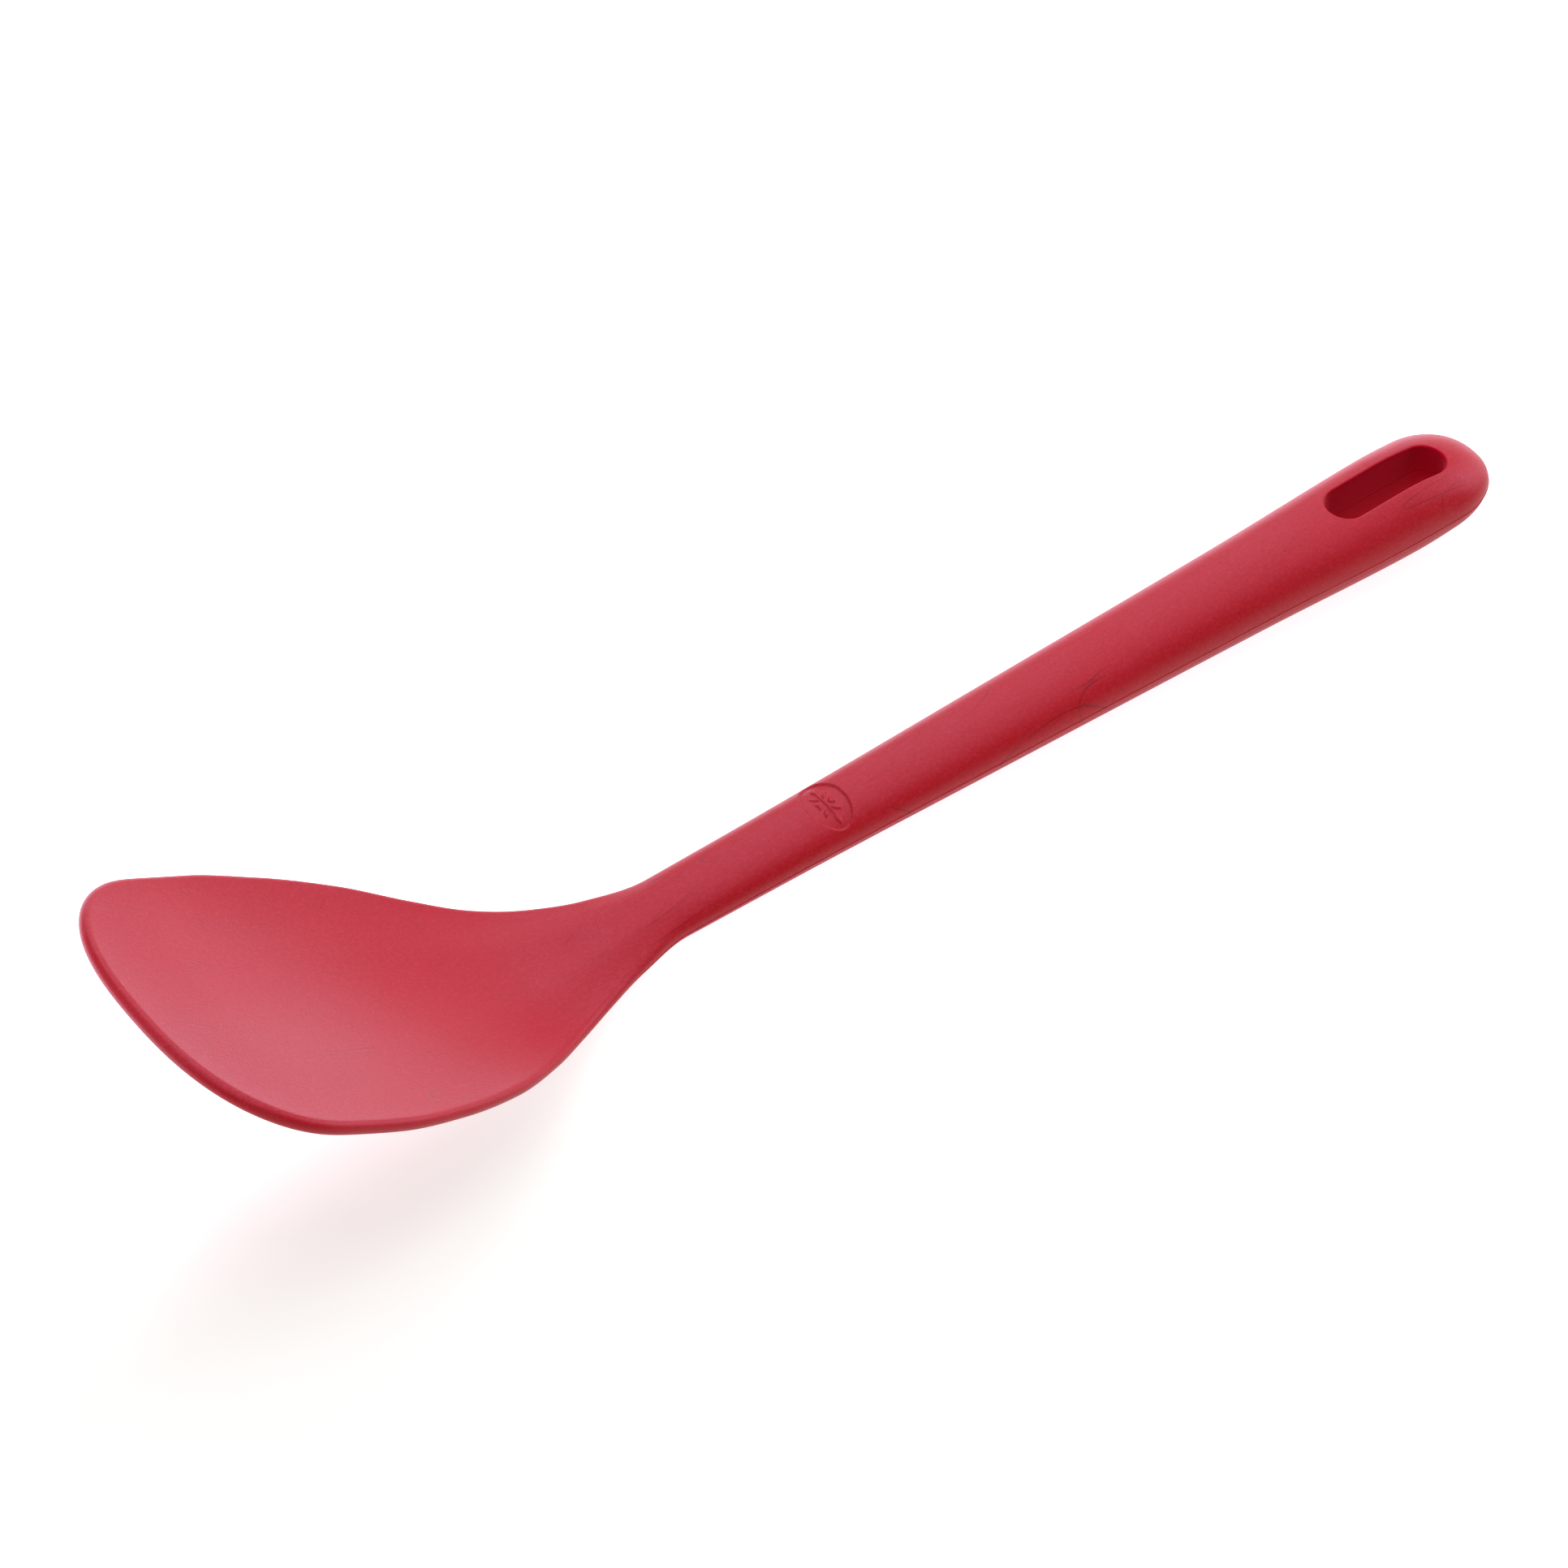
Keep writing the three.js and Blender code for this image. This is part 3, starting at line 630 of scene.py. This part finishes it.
def spring_steel():
    """Rolled strip, brushed along the handle."""
    material, nodes, links, shader = new_material("spring_steel")
    brushing = noise(nodes, links, 1800, 3, stretch=(0.02, 1, 1))
    tone = remap(nodes, links, brushing, *MIDDLE_TONES, 0, 1)
    links.new(mix_colours(nodes, links, tone, STEEL_DARK, STEEL_LIGHT), shader.inputs["Base Color"])
    rough = remap(nodes, links, brushing, *MIDDLE_TONES, *STEEL_ROUGHNESS)
    links.new(rough, shader.inputs["Roughness"])
    links.new(bump(nodes, links, brushing, STEEL_RELIEF), shader.inputs["Normal"])
    shader.inputs["Metallic"].default_value = 1
    return material


def floor_material():
    """A pale sheet that glows though it is no lamp: painted light that washes out the part's shadow,
    glowing more strongly behind the part as a painted pool of light.
    """
    material, nodes, links, shader = new_material("pale_floor_painted_glow")
    coordinates = nodes.new("ShaderNodeTexCoord")
    parts = nodes.new("ShaderNodeSeparateXYZ")
    links.new(coordinates.outputs["Object"], parts.inputs["Vector"])
    behind = remap(nodes, links, parts.outputs["Y"], *FLOOR_PAINTED_GLOW_Y, 0, 1, smooth=True)
    # Painted light: a white glow in front of the part and a violet glow behind it.
    links.new(mix_colours(nodes, links, behind, (1, 1, 1), LIGHT_COLOUR), shader.inputs["Emission Color"])
    glow = remap(nodes, links, behind, 0, 1, *FLOOR_PAINTED_GLOW)
    links.new(glow, shader.inputs["Emission Strength"])
    shader.inputs["Base Color"].default_value = (*FLOOR_COLOUR, 1)
    shader.inputs["Roughness"].default_value = 0.9
    return material


# ---- The pieces --------------------------------------------------------------------------------


def silicone_cover():
    piece = object_from_faces("silicone_skin", outside_faces())
    paint_masks(piece)
    piece.data.materials.append(red_silicone())
    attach(piece, "root")
    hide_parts("silicone_cover")
    return piece


def dress_cad_node(name, material):
    """Gives a CAD node that stays a better material."""
    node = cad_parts[name]
    node.data.materials.clear()
    node.data.materials.append(material)


# ---- Stage -------------------------------------------------------------------------------------

# The camera looks at the origin of the CAD frame from these angles, in degrees.
CAMERA_AZIMUTH = -37.29
CAMERA_ELEVATION = 47.08
CAMERA_ROLL = 0.85
CAMERA_DISTANCE = 1.11664
CAMERA_SHIFT = (-0.0418, 0.0251)
FRAME_WIDTH = 0.2945  # of what the frame spans at the origin's distance
SENSOR = 36.0
CAMERA_NEAR = 0.01
CAMERA_FAR = 20
FLOOR_PAINTED_GLOW_Y = (-0.035, 0.09)  # metres, over which the floor's painted glow rises towards the painted pool of light behind the part
# The strength of the floor's painted glow, in front of the part and behind it.
FLOOR_PAINTED_GLOW = (0.62, 2.8)
FLOOR_COLOUR = (0.42, 0.465, 0.35)
FLOOR_HALF_SIZE = 4.0
FLOOR_DROP = 0.00003  # metres, which keeps the floor just clear of the handle's level underside
LIGHT_COLOUR = (1.0, 0.92, 1.14)  # slightly violet
WORLD_STRENGTH = 0.2
# Each soft light's name, azimuth, elevation, distance, size and power, in degrees, metres and watts.
SOFT_LIGHTS = [
    ("behind", 146, 40, 1.6, 1.0, 9),
    ("right", 85, 28, 1.6, 1.1, 13),
    ("above", 150, 84, 1.7, 1.5, 14),
    ("left", 240, 35, 1.7, 1.4, 6),
    ("front", -37, 25, 1.8, 1.2, 3.5),
]


def direction(azimuth, elevation):
    """The unit vector towards a viewpoint at those angles, in degrees. Azimuth 0 looks along +Y."""
    a = math.radians(azimuth)
    e = math.radians(elevation)
    return Vector((math.sin(a) * math.cos(e), -math.cos(a) * math.cos(e), math.sin(e)))


def add_camera():
    back = direction(CAMERA_AZIMUTH, CAMERA_ELEVATION)
    azimuth = math.radians(CAMERA_AZIMUTH)
    level = Vector((math.cos(azimuth), math.sin(azimuth), 0))
    up = back.cross(level)
    roll = math.radians(CAMERA_ROLL)
    right = level * math.cos(roll) + up * math.sin(roll)
    up = up * math.cos(roll) - level * math.sin(roll)
    data = bpy.data.cameras.new("camera")
    data.sensor_width = SENSOR
    data.lens = SENSOR * CAMERA_DISTANCE / FRAME_WIDTH
    data.shift_x, data.shift_y = CAMERA_SHIFT
    data.clip_start = CAMERA_NEAR
    data.clip_end = CAMERA_FAR
    camera = bpy.data.objects.new("camera", data)
    turn = Matrix((right, up, back)).transposed()
    camera.matrix_world = Matrix.Translation(back * CAMERA_DISTANCE) @ turn.to_4x4()
    bpy.context.scene.collection.objects.link(camera)
    bpy.context.scene.camera = camera


def add_soft_light(name, azimuth, elevation, distance, size, power):
    """A square area light that faces the part from that direction."""
    data = bpy.data.lights.new(name, "AREA")
    data.size = size
    data.energy = power
    data.color = LIGHT_COLOUR
    light = bpy.data.objects.new(name, data)
    back = direction(azimuth, elevation)
    light.location = back * distance
    light.rotation_mode = "QUATERNION"
    light.rotation_quaternion = (-back).to_track_quat("-Z", "Y")
    bpy.context.scene.collection.objects.link(light)


def add_world(colour, strength):
    world = bpy.data.worlds.new("studio")
    world.use_nodes = True
    background = world.node_tree.nodes["Background"]
    background.inputs["Color"].default_value = (*colour, 1)
    background.inputs["Strength"].default_value = strength
    bpy.context.scene.world = world


def add_floor():
    signs = ((-1, -1), (1, -1), (1, 1), (-1, 1))
    corners = [(x * FLOOR_HALF_SIZE, y * FLOOR_HALF_SIZE, -FLOOR_DROP) for x, y in signs]
    floor = object_from_faces("floor", np.array([corners]))
    floor.data.materials.append(floor_material())


add_camera()
silicone_cover()
dress_cad_node("handle_core", red_nylon())
dress_cad_node("bowl_insert", spring_steel())
add_floor()
add_world(LIGHT_COLOUR, WORLD_STRENGTH)
for soft_light in SOFT_LIGHTS:
    add_soft_light(*soft_light)
bpy.context.scene.view_settings.view_transform = "Standard"
